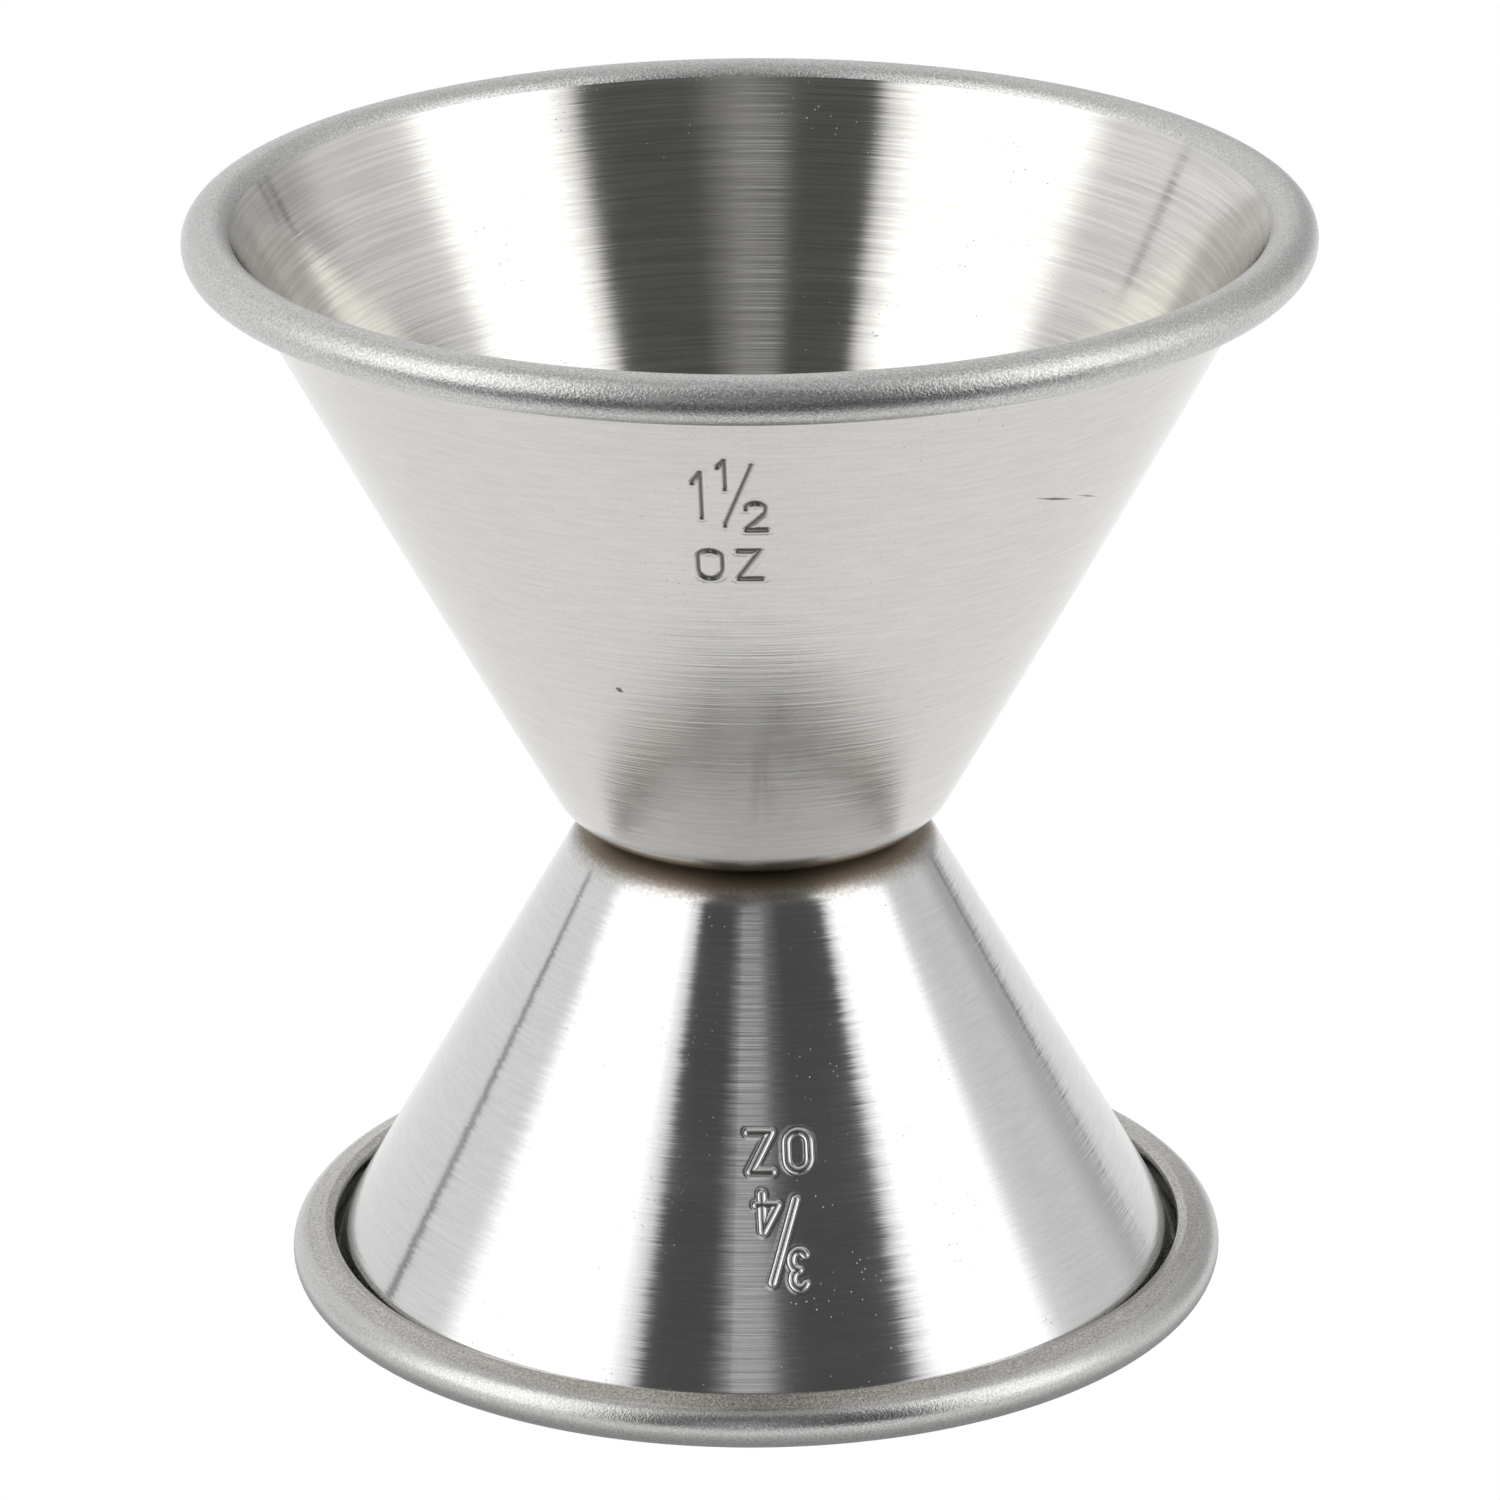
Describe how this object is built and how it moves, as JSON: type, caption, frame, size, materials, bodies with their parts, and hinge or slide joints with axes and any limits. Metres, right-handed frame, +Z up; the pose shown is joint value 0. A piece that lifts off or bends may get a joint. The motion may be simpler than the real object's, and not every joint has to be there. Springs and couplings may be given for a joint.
{
  "type": "bar jigger",
  "caption": "Double-ended bar jigger: a large and a small conical steel cup with rolled rims, spot-welded base to base.",
  "frame": {"origin": "centre of the small cup's rolled rim, on the plane that it rests on", "axes": "+Z up along the axis of both cups, towards the large cup; +Y towards the back, with the capacity marks facing -Y"},
  "size_m": [0.0628, 0.0628, 0.0632],
  "materials": {
    "large_cup_steel": "satin stainless steel, brushed round the cup",
    "small_cup_steel": "satin stainless steel, brushed round the cup",
    "weld_metal": "dull fused stainless steel"
  },
  "bodies": {
    "root": {"large_cup": "large_cup_steel", "small_cup": "small_cup_steel", "weld_nugget_1": "weld_metal", "weld_nugget_2": "weld_metal", "weld_nugget_3": "weld_metal"}
  },
  "joints": []
}
